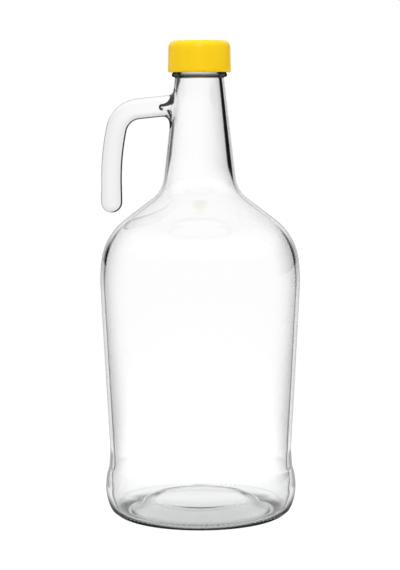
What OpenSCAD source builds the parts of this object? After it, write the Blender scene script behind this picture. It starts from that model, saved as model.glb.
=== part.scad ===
// Two-litre handled glass bottle: a tapered barrel, a long conical neck with an open
// hook handle, a continuous-thread finish and a smooth plastic screw cap with a liner.
// Millimetres. +Z is up, the bottle stands on z = 0 with its axis on Z, handle at -X.
// The glass is one moulding. It is drawn in the zones that a bottle maker names, and
// neighbouring zones meet face to face.

/* [Barrel and heel] */
// Widest diameter of the barrel
barrel_d = 128.6; // [124:0.1:134]
// Height of the barrel's widest point
barrel_z = 153.3; // [140:0.1:165]
// Diameter at the waist, the shallow groove between heel and barrel
waist_d = 117.5; // [115:0.1:120]
// Height of the waist
waist_z = 43.5; // [40:0.1:48]
// Slope of the land below the waist, in degrees from upright
land_slope = 3.8; // [2:0.1:6]
// Rounding of the waist
waist_round = 40; // [20:1:60]
// Rounding where the land meets the heel
land_round = 7; // [4:0.5:12]
// Widest diameter of the heel
heel_d = 123.4; // [121:0.1:126]
// Height of the heel's widest point
heel_z = 19.9; // [17:0.1:22]
// Radius of the heel's bulge, in section
heel_bulge_r = 35; // [31:0.1:40]
// Radius of the corner between the heel and the base
heel_corner_r = 12.2; // [9:0.1:15]

/* [Shoulder and neck] */
// Radius of the upper barrel, in section
barrel_round = 102.5; // [70:0.5:130]
// Angle at which the upper barrel passes into the shoulder, in degrees from upright
shoulder_start = 7.2; // [5:0.1:14]
// Radius of the shoulder, in section
shoulder_r = 38.4; // [30:0.1:44]
// Slope of the shoulder's cone, in degrees from upright
shoulder_slope = 52.6; // [46:0.1:57]
// Radius of the hollow curve between shoulder and neck, in section
neck_root_r = 19; // [10:0.1:26]
// Taper of the neck on each side, in degrees
neck_taper = 6.5; // [5.5:0.1:7.5]
// Height of the neck's top above the barrel's widest point
neck_h = 129.7; // [120:0.1:140]

/* [Glass thickness] */
// Wall at the heel
heel_wall = 3.4; // [2.6:0.1:4.5]
// Wall of the barrel and the shoulder
barrel_wall = 2.2; // [1.8:0.1:3.4]
// Wall at the bottom of the neck
neck_wall = 1.6; // [1.4:0.1:2.4]
// Thickness of the floor
floor_wall = 3.6; // [3:0.1:5]

/* [Base] */
// Width of the flat ring that the bottle stands on
ring_w = 3; // [2:0.1:4]
// Rise of the push-up at its middle
pushup_h = 7; // [4:0.1:10]
// Radius of the push-up's flat crown
crown_r = 27; // [20:0.5:32]

/* [Finish] */
// Height of the finish, from the top of the neck to the brim
finish_h = 20.5; // [20:0.1:22]
// Diameter of the finish between its threads
thread_root_d = 34; // [33.6:0.1:34.4]
// Wall of the finish between its threads
finish_wall = 2.8; // [2.4:0.1:3.2]
// Wall at the top of the neck, just under the bead
neck_top_wall = 1.45; // [1.2:0.05:2]
// How far the bead stands out beyond the finish
bead_out = 0.65; // [0.4:0.05:1]
// Height of the bead
bead_h = 3.3; // [2.6:0.1:3.6]
// Rounding of the brim's outer edge
brim_round = 0.9; // [0.4:0.1:1.2]
// Rounding of the brim's inner edge
lip_round = 0.6; // [0.3:0.1:0.9]

/* [Thread] */
// Rise of the thread in one turn
thread_pitch = 4.2; // [3.8:0.1:4.6]
// Number of turns of thread on the glass
thread_turns = 1.5; // [1:0.25:2]
// How far the thread stands out of the finish
thread_depth = 1.25; // [1:0.05:1.4]
// Width of the thread's foot, along the axis
thread_foot = 2.3; // [2:0.1:2.5]
// Width of the thread's crest, along the axis
thread_crest = 0.9; // [0.6:0.1:1.2]
// Distance from the brim down to the middle of the thread's start
thread_start = 3; // [2.6:0.1:3.6]
// Gap between the cap's thread and the glass, across the axis
thread_gap = 0.35; // [0.3:0.05:0.45]

/* [Cap] */
// Height of the cap
cap_h = 20.2; // [19.6:0.1:20.7]
// Wall of the cap's skirt at its bottom
skirt_wall = 1.6; // [1.4:0.1:2]
// How much the cap narrows towards its top, on each side
cap_draft = 0.5; // [0:0.1:0.5]
// Thickness of the cap's top
cap_top_wall = 1.5; // [1.3:0.1:2.2]
// Rounding of the cap's top edge
cap_round = 4.2; // [3:0.1:4.4]
// Rounding of the corner inside the cap
cap_inner_round = 2; // [1.5:0.1:2.4]
// Thickness of the liner
liner_h = 1.1; // [0.8:0.1:1.6]
// Gap round the liner's edge
liner_gap = 1.6; // [1.4:0.1:1.8]
// Gap above and below the liner
liner_play = 0.2; // [0.1:0.05:0.3]

/* [Handle] */
// Diameter of the handle's rod
rod_d = 13.2; // [11.5:0.1:14.5]
// Drop of the arm's axis below the top of the neck, at the bottle's axis
arm_drop = 15.8; // [14:0.1:20]
// Fall of the arm away from the neck, in degrees
arm_fall = 5.9; // [2:0.1:8]
// Radius of the bend between arm and leg, at the rod's axis
bend_r = 16; // [13:0.1:20]
// Lean of the leg where it leaves the bend, in degrees
leg_lean = 11.7; // [6:0.1:14]
// Length over which the leg swells towards its tip
swell_l = 13.7; // [10:0.1:24]
// Distance from the bottle's axis to the leg's axis
leg_x = 56.6; // [54:0.1:57.1]
// Diameter of the leg's swollen tip
tip_d = 13.6; // [13.2:0.1:14]
// Clear gap between the leg's tip and the shoulder
leg_gap = 7.4; // [5:0.1:10]
// Length over which the arm's root flares
root_l = 5; // [3:0.1:7]
// How far the arm's root spreads, inside the neck's wall
root_flare = 4; // [2.5:0.1:5]
// Length of the hollow that reaches from the neck into the arm
hollow_h = 7.9; // [4:0.1:9]
// Diameter of that hollow at the neck's outer face
hollow_d = 9; // [6:0.1:10]

/* [Hidden] */
$fn = 96;

GLASS = [0.86, 0.90, 0.89, 0.45];
YELLOW = [1.00, 0.82, 0.10];
FOAM = [0.93, 0.93, 0.90];

arc_step = 4;        // degrees between the points of a section's arcs
thread_segments = 36; // straight steps in one turn of thread
thread_fade = 30;    // degrees over which a thread's end runs out
sink = 0.4;          // how far a thread's foot is sunk in its wall
merge = 0.01;        // points nearer than this to a zone's end are left out

// A point at a radius and an angle from a centre, in the half-section's plane
function at(c, r, a) = c + r * [cos(a), sin(a)];

// The section as rows of [radius, height, slope]. The slope is the angle of the
// outward normal above level, which is what a wall is measured along.
function bulge(c, r, a0, a1) =
    let (n = max(2, ceil(abs(a1 - a0) / arc_step)))
    [for (i = [0:n]) let (a = a0 + (a1 - a0) * i / n, p = at(c, r, a)) [p[0], p[1], a]];
function hollow(c, r, a0, a1) = bulge(c, -r, a0, a1);
function tail(v) = [for (i = [1:len(v) - 1]) v[i]];
function reverse(v) = [for (i = [len(v) - 1:-1:0]) v[i]];

// Heel: the bulge's circle, and the corner's circle inside it that touches the floor
heel_c = [heel_d / 2 - heel_bulge_r, heel_z];
corner_reach = heel_bulge_r - heel_corner_r;
corner_c = heel_c + [sqrt(pow(corner_reach, 2) - pow(heel_z - heel_corner_r, 2)), heel_corner_r - heel_z];
corner_a = atan2(corner_c[1] - heel_c[1], corner_c[0] - heel_c[0]);
ring_r = corner_c[0];

// Land: a straight flank from the waist down to the heel, with a hollow rounding
waist = [waist_d / 2, waist_z];
land_n = [cos(land_slope), sin(land_slope)];
land_dir = [sin(land_slope), -cos(land_slope)];
land_from = waist + land_round * land_n - heel_c;
land_b = land_from * land_dir;
land_c = land_from * land_from - pow(heel_bulge_r + land_round, 2);
land_t = -land_b - sqrt(pow(land_b, 2) - land_c);
land_round_c = waist + land_round * land_n + land_t * land_dir;
heel_top_a = atan2(land_round_c[1] - heel_c[1], land_round_c[0] - heel_c[0]);

// Barrel: a straight taper from the waist that touches the upper barrel's circle
barrel_c = [barrel_d / 2 - barrel_round, barrel_z];
to_waist = waist - barrel_c;
barrel_a = atan2(to_waist[1], to_waist[0]) + acos(barrel_round / norm(to_waist));
waist_turn = land_slope - barrel_a;
waist_tangent = waist_round * tan(waist_turn / 2);
waist_c = waist + waist_tangent * land_dir + waist_round * land_n;

// Shoulder and neck: two round stretches, a cone, and a hollow rounding into the neck
shoulder_c = at(barrel_c, barrel_round - shoulder_r, shoulder_start);
cone_foot = at(shoulder_c, shoulder_r, shoulder_slope);
neck_z = barrel_z + neck_h;
brim_z = neck_z + finish_h;
root_r = thread_root_d / 2;
bore_r = root_r - finish_wall;
neck_top = [bore_r + neck_top_wall, neck_z];
cone_dir = [-sin(shoulder_slope), cos(shoulder_slope)];
neck_n = [cos(neck_taper), sin(neck_taper)];
cone_h = ((neck_top - cone_foot) * neck_n) / (cone_dir * neck_n);
cone_top = cone_foot + cone_h * cone_dir;
root_tangent = neck_root_r * tan((shoulder_slope - neck_taper) / 2);
root_c = cone_top - root_tangent * cone_dir + neck_root_r * [cos(shoulder_slope), sin(shoulder_slope)];

// Stretches that touch share a point, so all but the first drop their own
OUTER = concat(
    bulge(corner_c, heel_corner_r, -90, corner_a),
    tail(bulge(heel_c, heel_bulge_r, corner_a, heel_top_a)),
    tail(hollow(land_round_c, land_round, heel_top_a, land_slope)),
    hollow(waist_c, waist_round, land_slope, barrel_a),
    bulge(barrel_c, barrel_round, barrel_a, shoulder_start),
    tail(bulge(shoulder_c, shoulder_r, shoulder_start, shoulder_slope)),
    hollow(root_c, neck_root_r, shoulder_slope, neck_taper),
    [[neck_top[0], neck_top[1], neck_taper]]);

// Heights at which the glass zones meet
shoulder_z = at(barrel_c, barrel_round, shoulder_start)[1];
neck_foot_z = at(root_c, -neck_root_r, neck_taper)[1];

// The inside: the outside less the wall at each height, and the mouth's bore at the top
WALLS = [[0, heel_wall], [heel_z, heel_wall], [waist_z, barrel_wall],
         [cone_foot[1], barrel_wall], [neck_foot_z, neck_wall]];
function wall(z) = lookup(z, WALLS);
INNER = [for (p = OUTER) p[1] == neck_z ? [bore_r, neck_z]
         : [p[0] - wall(p[1]) * cos(p[2]), p[1] - wall(p[1]) * sin(p[2])]];

// The radius of a section at a height, and the stretch of it between two heights
function radius(points, z) = lookup(z, [for (p = points) [p[1], p[0]]]);
function stretch(points, z0, z1) = concat(
    [[radius(points, z0), z0]],
    [for (p = points) if (p[1] > z0 + merge && p[1] < z1 - merge) [p[0], p[1]]],
    [[radius(points, z1), z1]]);

// Push-up: a flat crown that falls to the standing ring along half a cosine wave
pushup_r = ring_r - ring_w;
function pushup(r) = r < crown_r ? pushup_h
    : pushup_h * (1 + cos(180 * (r - crown_r) / (pushup_r - crown_r))) / 2;
pushup_steps = 12;
UNDERSIDE = [for (i = [0:pushup_steps]) let (r = crown_r + (pushup_r - crown_r) * i / pushup_steps)
             [r, pushup(r)]];
valley = INNER[0];
FLOOR = [for (p = UNDERSIDE) let (s = p[0] / pushup_r)
         [s * valley[0], p[1] + floor_wall + (valley[1] - floor_wall) * pow(s, 4)]];

// The handle's axis, in the X-Z plane with the arm pointing to -X. The tip's height
// follows from its gap to the shoulder, and the leg's long curve back to upright fills
// the height that is left between the bend and the swell.
rod_r = rod_d / 2;
tip_r = tip_d / 2;
arm_z = neck_z - arm_drop;
tip_reach = shoulder_r + leg_gap + tip_r;
tip_z = shoulder_c[1] + sqrt(pow(tip_reach, 2) - pow(leg_x - shoulder_c[0], 2));
leg_curve_z = tip_z + swell_l;
fall = tan(arm_fall);
upright_bend_z = arm_z - fall * (leg_x - bend_r * (cos(leg_lean) - sin(arm_fall))) - bend_r * cos(arm_fall);
leg_curve_r = (upright_bend_z + bend_r * sin(leg_lean) - leg_curve_z)
    / (sin(leg_lean) - fall * (1 - cos(leg_lean)));
bend_x = -leg_x + leg_curve_r * (1 - cos(leg_lean)) + bend_r * cos(leg_lean);
bend_z = leg_curve_z + (leg_curve_r - bend_r) * sin(leg_lean);

// Where the arm's axis meets the neck's outer face, measured along the arm
neck_slope = tan(neck_taper);
arm_start = (neck_top[0] + arm_drop * neck_slope) / (cos(arm_fall) - sin(arm_fall) * neck_slope);

// The hollow starts this far inside the neck's outer face, and ends with a blunt tip
hollow_in = 6 * neck_wall;
hollow_tip_d = 2.2;

// The rod as rows of [x, z, heading, radius] from inside the neck to the leg's tip.
// It starts deep enough for its flared root to end inside the round neck all the way.
arm_neck_r = arm_start * cos(arm_fall);
root_in = arm_neck_r - sqrt(pow(arm_neck_r, 2) - pow(rod_r + root_flare, 2)) + sink;
rod_sides = 32;
root_steps = 8;
swell_steps = 5;
bend_step = 5;       // degrees between the rod's rings on the bend
leg_step = 2;        // degrees between them on the leg's long curve
tip_step = 12;       // degrees between them on the round tip
arm_heading = 180 + arm_fall;
leg_heading = 270 - leg_lean;
function arm_at(s) = [-s * cos(arm_fall), arm_z - s * sin(arm_fall)];
function bent(c, r, h0, h1, step) =
    let (n = max(2, ceil((h1 - h0) / step)))
    [for (i = [0:n]) let (h = h0 + (h1 - h0) * i / n, p = at(c, r, h - 90)) [p[0], p[1], h, rod_r]];
ROD = concat(
    [for (i = [0:root_steps])
        let (s = -root_in + (root_in + root_l) * i / root_steps,
             p = arm_at(arm_start + s),
             spread = root_flare * pow((root_l - s) / (root_l + root_in), 2))
        [p[0], p[1], arm_heading, rod_r + spread]],
    bent([bend_x, bend_z], bend_r, arm_heading, leg_heading, bend_step),
    tail(bent([leg_curve_r - leg_x, leg_curve_z], leg_curve_r, leg_heading, 270, leg_step)),
    [for (i = [1:swell_steps])
        let (s = i / swell_steps)
        [-leg_x, leg_curve_z + (tip_z - leg_curve_z) * s, 270,
         rod_r + (tip_r - rod_r) * (1 - cos(180 * s)) / 2]],
    [for (a = [tip_step:tip_step:90 - tip_step / 2]) [-leg_x, tip_z - tip_r * sin(a), 270, tip_r * cos(a)]]);

// Cap
cap_top_z = brim_z + liner_play + liner_h + liner_play + cap_top_wall;
cap_z = cap_top_z - cap_h;
cap_bore_r = root_r + thread_depth + thread_gap;
cap_r = cap_bore_r + skirt_wall;
liner_top_z = cap_top_z - cap_top_wall;

// Height of the middle of the glass thread's lower end
thread_foot_z = brim_z - thread_start - thread_turns * thread_pitch;

// A zone of the glass between two heights
module zone(z0, z1)
    rotate_extrude()
    polygon(concat(stretch(OUTER, z0, z1), reverse(stretch(INNER, z0, z1))));

// Heel, standing ring, push-up and floor, up to the waist
module bottle_base()
    color(GLASS)
    rotate_extrude()
    polygon(concat(
        [[0, pushup_h]], UNDERSIDE,
        stretch(OUTER, 0, waist_z),
        reverse(stretch(INNER, valley[1], waist_z)),
        reverse([for (i = [0:pushup_steps - 1]) FLOOR[i]]),
        [[0, pushup_h + floor_wall]]));

// Tapered barrel
module bottle_body()
    color(GLASS)
    zone(waist_z, shoulder_z);

// Round shoulder and its cone, up to the foot of the neck
module bottle_shoulder()
    color(GLASS)
    zone(shoulder_z, neck_foot_z);

// Conical neck, with the hollow that opens into the handle
module bottle_neck()
    color(GLASS)
    difference() {
        zone(neck_foot_z, neck_z);
        arm_hollow();
    }

// A ridge that climbs as a right-hand screw. It stands between a wall at foot_r and a
// crest at crest_r, its middle starts at height z0, and its ends run out.
module ridge(foot_r, crest_r, z0, turns) {
    outward = sign(crest_r - foot_r);
    n = ceil(turns * thread_segments);
    points = [for (i = [0:n])
        let (a = 360 * turns * i / n,
             fade = min(1, min(a, 360 * turns - a) / thread_fade),
             crest = foot_r + (crest_r - foot_r) * fade - outward * (1 - fade) * sink / 2,
             z = z0 + thread_pitch * a / 360,
             base = foot_r - outward * sink)
        for (p = [[base, -thread_foot / 2], [crest, -thread_crest / 2],
                  [crest, thread_crest / 2], [base, thread_foot / 2]])
            [p[0] * cos(a), p[0] * sin(a), z + p[1]]];
    sides = [for (i = [0:n - 1], k = [0:3])
        let (a = 4 * i + k, b = 4 * i + (k + 1) % 4)
        for (t = [[a, b, b + 4], [a, b + 4, a + 4]]) outward > 0 ? t : reverse(t)];
    ends = [[3, 2, 1, 0], [4 * n, 4 * n + 1, 4 * n + 2, 4 * n + 3]];
    polyhedron(points, concat(sides, [for (e = ends) outward > 0 ? e : reverse(e)]));
}

// Threaded mouth with its bead
module neck_finish() {
    bead_r = bead_h / 2;
    bead_c = [root_r + bead_out - bead_r, neck_z + bead_r];
    color(GLASS)
    union() {
        rotate_extrude()
        polygon(concat(
            [[bore_r, neck_z], neck_top],
            [for (a = [-60:15:60]) at(bead_c, bead_r, a)],
            [[root_r, neck_z + bead_h]],
            [for (a = [0:15:90]) at([root_r - brim_round, brim_z - brim_round], brim_round, a)],
            [for (a = [90:15:180]) at([bore_r + lip_round, brim_z - lip_round], lip_round, a)]));
        ridge(root_r, root_r + thread_depth, thread_foot_z, thread_turns);
    }
}

// The hollow that the neck's inside makes in the root of the arm: a cone along the
// arm's axis, begun well inside the neck
module arm_hollow() {
    h = hollow_h + hollow_in;
    translate([0, 0, arm_z])
    rotate([0, -90 - arm_fall, 0])
    translate([0, 0, arm_start - hollow_in])
    cylinder(d1 = hollow_d * h / hollow_h, d2 = hollow_tip_d, h = h);
}

// A round rod through rows of [x, z, heading, radius], closed by a point at its end
module rod(rows, end) {
    n = rod_sides;
    last = n * (len(rows) - 1);
    points = concat(
        [for (p = rows, k = [0:n - 1])
            let (a = 360 * k / n, out = p[3] * cos(a))
            [p[0] + out * cos(p[2] - 90), p[3] * sin(a), p[1] + out * sin(p[2] - 90)]],
        [[end[0], 0, end[1]]]);
    sides = [for (i = [0:len(rows) - 2], k = [0:n - 1])
        let (a = n * i + k, b = n * i + (k + 1) % n)
        for (t = [[b, a, b + n], [b + n, a, a + n]]) t];
    tip = [for (k = [0:n - 1]) [last + (k + 1) % n, last + k, len(points) - 1]];
    polyhedron(points, concat([[for (k = [0:n - 1]) k]], sides, tip));
}

// Open hook: arm, bend, curved leg and round tip
module handle()
    color(GLASS)
    difference() {
        rod(ROD, [-leg_x, tip_z - tip_r]);
        rotate_extrude()
        polygon(concat([[0, neck_foot_z]], stretch(OUTER, neck_foot_z, neck_z), [[0, neck_z]]));
        arm_hollow();
    }

// Soft liner that seals the mouth
module cap_liner()
    color(FOAM)
    translate([0, 0, brim_z + liner_play])
    cylinder(r = cap_bore_r - liner_gap, h = liner_h);

// Smooth cap with its inner thread
module screw_cap() {
    top_c = [cap_r - cap_draft - cap_round, cap_top_z - cap_round];
    inner_c = [cap_bore_r - cap_inner_round, liner_top_z - cap_inner_round];
    color(YELLOW)
    union() {
        rotate_extrude()
        polygon(concat(
            [[cap_bore_r, cap_z], [cap_r, cap_z]],
            [for (a = [0:10:90]) at(top_c, cap_round, a)],
            [[0, cap_top_z], [0, liner_top_z]],
            [for (a = [90:-15:0]) at(inner_c, cap_inner_round, a)]));
        ridge(cap_bore_r, cap_bore_r - thread_depth, thread_foot_z - thread_pitch / 2, thread_turns);
    }
}

bottle_base();
bottle_body();
bottle_shoulder();
bottle_neck();
neck_finish();
handle();
cap_liner();
screw_cap();
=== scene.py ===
"""Handled two-litre glass jug bottle with a plain screw cap: the looks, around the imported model."""

import math
from functools import partial

import bmesh
import bpy
import numpy as np
from mathutils import Matrix, Vector


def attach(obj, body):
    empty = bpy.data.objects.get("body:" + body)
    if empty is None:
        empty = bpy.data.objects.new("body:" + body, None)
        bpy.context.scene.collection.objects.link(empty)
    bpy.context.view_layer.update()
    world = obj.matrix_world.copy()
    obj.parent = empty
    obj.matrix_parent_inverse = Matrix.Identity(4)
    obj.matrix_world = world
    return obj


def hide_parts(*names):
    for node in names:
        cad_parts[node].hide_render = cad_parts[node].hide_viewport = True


MM = 0.001

# ------------ camera

CAMERA_PLACE = (-0.0001, -1.250, 0.27226)  # metres
CAMERA_LENS, CAMERA_SENSOR = 122.99, 36  # mm
CAMERA_PITCH = 5.592  # degrees down
CAMERA_ROLL = 0.20  # degrees, so that the upright bottle leans a little to the left

scene = bpy.context.scene
camera = bpy.data.objects.new("camera", bpy.data.cameras.new("camera"))
scene.collection.objects.link(camera)
scene.camera = camera
camera.data.sensor_width = CAMERA_SENSOR
camera.data.lens = CAMERA_LENS
camera.data.clip_start = 0.05
camera.data.clip_end = 20
camera.matrix_world = (
    Matrix.Translation(CAMERA_PLACE)
    @ Matrix.Rotation(math.radians(90 - CAMERA_PITCH), 4, "X")
    @ Matrix.Rotation(math.radians(-CAMERA_ROLL), 4, "Z")
)

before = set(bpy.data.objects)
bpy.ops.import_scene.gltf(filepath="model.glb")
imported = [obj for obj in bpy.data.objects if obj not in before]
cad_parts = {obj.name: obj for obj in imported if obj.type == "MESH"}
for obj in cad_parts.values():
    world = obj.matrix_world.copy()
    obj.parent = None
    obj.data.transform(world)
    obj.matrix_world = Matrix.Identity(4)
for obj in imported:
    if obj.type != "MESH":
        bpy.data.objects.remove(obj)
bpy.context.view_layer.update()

# ------------ sizes, in mm and degrees

# The jug's section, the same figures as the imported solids
BARREL_D, BARREL_Z, BARREL_ROUND = 128.6, 153.3, 102.5
WAIST_D, WAIST_Z, WAIST_ROUND = 117.5, 43.5, 40.0
LAND_SLOPE, LAND_ROUND = 3.8, 7.0
HEEL_D, HEEL_Z, HEEL_BULGE_R, HEEL_CORNER_R = 123.4, 19.9, 35.0, 12.2
SHOULDER_START, SHOULDER_R, SHOULDER_SLOPE = 7.2, 38.4, 52.6
NECK_H, NECK_ROOT_R, NECK_TAPER = 129.7, 19.0, 6.5
HEEL_WALL, BARREL_WALL, NECK_WALL, NECK_TOP_WALL, FLOOR_WALL = 3.4, 2.2, 1.6, 1.45, 3.6
RING_W, PUSHUP_H, CROWN_R = 3.0, 7.0, 27.0
FINISH_H, FINISH_R, FINISH_WALL = 20.5, 17.0, 2.8
BEAD_OUT, BEAD_H = 0.65, 3.3
BEAD_LOW, BEAD_HIGH = -52, 56  # the part of the bead's half-round that its soft joins leave
BEAD_JOIN_R, BEAD_JOIN_L = 0.4, 0.6  # the joins' radius, and how far down the neck they start
BEAD_FOOT, BEAD_TOP = 0.15, 0.1  # how far the joins' corners lie above the bead's two ends
MOUTH_START = 1.6  # how far above the bead the straight mouth starts
BRIM_OUTER_R, BRIM_INNER_R = 0.9, 0.6
THREAD_PITCH, THREAD_TURNS, THREAD_DEPTH = 4.2, 1.5, 1.25
THREAD_FOOT, THREAD_CREST, THREAD_START, THREAD_GAP = 2.3, 0.9, 3.0, 0.35
THREAD_FADE = 30  # degrees over which the thread rises at each end
THREAD_CLEAR = 0.3  # the plain mouth that is drawn as finely, below the thread

# The handle's rod, and the fillet at its root
ROD_R, TIP_R, ARM_DROP, ARM_FALL = 6.6, 6.8, 15.8, 5.9
BEND_R, LEG_LEAN, LEG_X, LEG_GAP, SWELL_L = 16.0, 11.7, 56.6, 7.4, 13.7
FILLET_TOP, FILLET_SIDE, FILLET_UNDER = 3.2, 2.6, 8.0  # how far it spreads on the neck
FILLET_L, FILLET_UNDER_L = 3.0, 2.6  # how far it runs out along the rod, and more so below
FILLET_PULL = 0.62  # how closely it follows its corner
FILLET_PLAIN = 1.5  # the plain rod before the arm's first station

# The hollow in the handle's root, by how far it has gone in from the neck's inner wall
HOLLOW_L, HOLLOW_NOSE = 8.2, 1.5
HOLLOW_TOP, HOLLOW_TOP_FLARE, HOLLOW_TOP_FADE = 0.05, 11.3, 2.1
HOLLOW_UNDER, HOLLOW_UNDER_FLARE, HOLLOW_UNDER_FADE = -2.3, 11.0, 1.7
HOLLOW_HALF_W, HOLLOW_SIDE_FLARE, HOLLOW_SIDE_FADE = 2.6, 5.2, 1.9

# The cap and its liner
CAP_H, SKIRT_WALL, SKIRT_EDGE, CAP_DRAFT, CAP_TOP_WALL = 20.2, 1.6, 0.3, 0.5, 1.5
CAP_ROUND, CAP_INNER_ROUND = 4.2, 2.0
CAP_THREAD_LOW, CAP_THREAD_HIGH = 1.0, 3.0  # from the skirt's edge, and from the inner top
LINER_H, LINER_GAP, LINER_PLAY, LINER_EDGE = 1.1, 1.6, 0.2, 0.15

# The stipple: a ring of small dots on the heel
STIPPLE_COUNT, STIPPLE_Z = 100, 4.4
STIPPLE_D, STIPPLE_RISE = 1.3, 0.35  # a dot's width, and how far it stands out
STIPPLE_SINK = STIPPLE_D / 4  # how deep its middle lies in the wall
STIPPLE_SEGMENTS, STIPPLE_RINGS = 8, 5

# How finely the pieces are drawn
COLUMNS = 160
ROOT_HALF = 19  # columns on each side of the handle's root
ROOT_ROWS, ROWS_BELOW_ROOT, ROWS_ABOVE_ROOT = 30, 12, 4
ROOT_REACH = 15.5  # half the height of the root's patch
ROUND = 2 * (2 * ROOT_HALF + ROOT_ROWS)  # points round the rod
THREAD_STEP, CAP_THREAD_STEP, BEAD_STEP = 0.22, 0.3, 8  # mm, and degrees
FILLET_RINGS, HOLLOW_RINGS, PUSHUP_RINGS = 10, 24, 15
HOLLOW_CROWDING = 1.4  # its rings lie closer at the mouth
NOSE_TURNS = [15, 30, 45, 60, 75, 85]  # its rings round the nose
CROWN_RINGS = [1.5, 5, 10, 15, 20, 24]  # radii of the rings inside the push-up's crown
CAP_TOP_RINGS = [4, 9, 13, 15]  # and inside the cap's top
MIDDLE_R = 1.0  # the ring next to the middle of the cap's top and of the liner
ARM_STATIONS, SWELL_STATIONS = 7, 9
BEND_STEP, LEG_STEP, TIP_STEP = 3, 0.6, 6  # degrees
MEET_TRIES = 20  # steps to find where a line of the rod meets the neck


# ------------ section of the jug


def unit(angle):
    """The direction that an angle stands for."""
    a = math.radians(angle)
    return np.array([math.cos(a), math.sin(a)])


def tan(angle):
    return math.tan(math.radians(angle))


def heading(way):
    """The angle that stands for a direction."""
    return math.degrees(math.atan2(way[1], way[0]))


def at(centre, r, angle):
    """The point of a circle at an angle."""
    return np.asarray(centre) + r * unit(angle)


def bulge(centre, r, start, end, step=3.0):
    """Rows of [radius, height, slope] along an arc that swells outwards."""
    n = max(2, math.ceil(abs(end - start) / step))
    return [[*at(centre, r, a), a] for a in np.linspace(start, end, n + 1)]


def cove(centre, r, start, end, step=3.0):
    """Rows along an arc that curves inwards."""
    return bulge(centre, -r, start, end, step)


def divided(rows, step):
    """Rows, with more put in where two are further apart than a step."""
    out = [rows[0]]
    for before, row in zip(rows, rows[1:]):
        a, b = np.array(before, float), np.array(row, float)
        n = max(1, round(np.linalg.norm(b[:2] - a[:2]) / step))
        out += [list(a + (b - a) * i / n) for i in range(1, n)] + [row]
    return out


# Heel: the bulge's circle, and the corner's circle inside it that touches the floor
heel_c = np.array([HEEL_D / 2 - HEEL_BULGE_R, HEEL_Z])
corner_reach = HEEL_BULGE_R - HEEL_CORNER_R
corner_rise = HEEL_CORNER_R - HEEL_Z
corner_c = heel_c + [math.sqrt(corner_reach**2 - corner_rise**2), corner_rise]
corner_a = heading(corner_c - heel_c)
ring_r = corner_c[0]

# Land: a straight flank from the waist down to the heel
waist = np.array([WAIST_D / 2, WAIST_Z])
land_out = unit(LAND_SLOPE)
land_down = np.array([land_out[1], -land_out[0]])
land_from = waist + LAND_ROUND * land_out - heel_c
land_b = land_from @ land_down
land_reach = HEEL_BULGE_R + LAND_ROUND
land_l = -land_b - math.sqrt(land_b**2 - land_from @ land_from + land_reach**2)
land_round_c = waist + LAND_ROUND * land_out + land_l * land_down
heel_top_a = heading(land_round_c - heel_c)

# Barrel: a straight taper from the waist that touches the upper barrel's circle
barrel_c = np.array([BARREL_D / 2 - BARREL_ROUND, BARREL_Z])
to_waist = waist - barrel_c
barrel_a = heading(to_waist) + math.degrees(math.acos(BARREL_ROUND / np.linalg.norm(to_waist)))
waist_tangent = WAIST_ROUND * tan((LAND_SLOPE - barrel_a) / 2)
waist_c = waist + waist_tangent * land_down + WAIST_ROUND * land_out

# Shoulder and neck
shoulder_c = at(barrel_c, BARREL_ROUND - SHOULDER_R, SHOULDER_START)
cone_foot = at(shoulder_c, SHOULDER_R, SHOULDER_SLOPE)
neck_z = BARREL_Z + NECK_H
brim_z = neck_z + FINISH_H
bore_r = FINISH_R - FINISH_WALL
thread_z = brim_z - THREAD_START - THREAD_TURNS * THREAD_PITCH  # the thread's lower end
neck_top = np.array([bore_r + NECK_TOP_WALL, neck_z])
neck_out, cone_out = unit(NECK_TAPER), unit(SHOULDER_SLOPE)
cone_up = np.array([-cone_out[1], cone_out[0]])
cone_l = ((neck_top - cone_foot) @ neck_out) / (cone_up @ neck_out)
cone_top = cone_foot + cone_l * cone_up
neck_root_tangent = NECK_ROOT_R * tan((SHOULDER_SLOPE - NECK_TAPER) / 2)
neck_root_c = cone_top - neck_root_tangent * cone_up + NECK_ROOT_R * cone_out
neck_foot_z = at(neck_root_c, -NECK_ROOT_R, NECK_TAPER)[1]

# The arm of the handle falls away from the neck, in the X-Z plane, to -X
arm_z = neck_z - ARM_DROP
fall_x, fall_z = unit(ARM_FALL)
arm_way = np.array([-fall_x, 0, -fall_z])
arm_start = (neck_top[0] + ARM_DROP * tan(NECK_TAPER)) / (fall_x - fall_z * tan(NECK_TAPER))
root_z = arm_z - arm_start * fall_z  # where the arm's axis leaves the neck


def neck_rows():
    """Heights of the neck's rows: fine and even round the handle's root."""
    low, high = root_z - ROOT_REACH, root_z + ROOT_REACH
    below = list(np.linspace(neck_foot_z, low, ROWS_BELOW_ROOT + 1))
    patch = list(np.linspace(low, high, ROOT_ROWS + 1))
    above = list(np.linspace(high, neck_z, ROWS_ABOVE_ROOT + 1))
    return below[1:-1] + patch + above[1:-1]


def neck_r(z):
    return neck_top[0] + (neck_z - z) * tan(NECK_TAPER)


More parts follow.
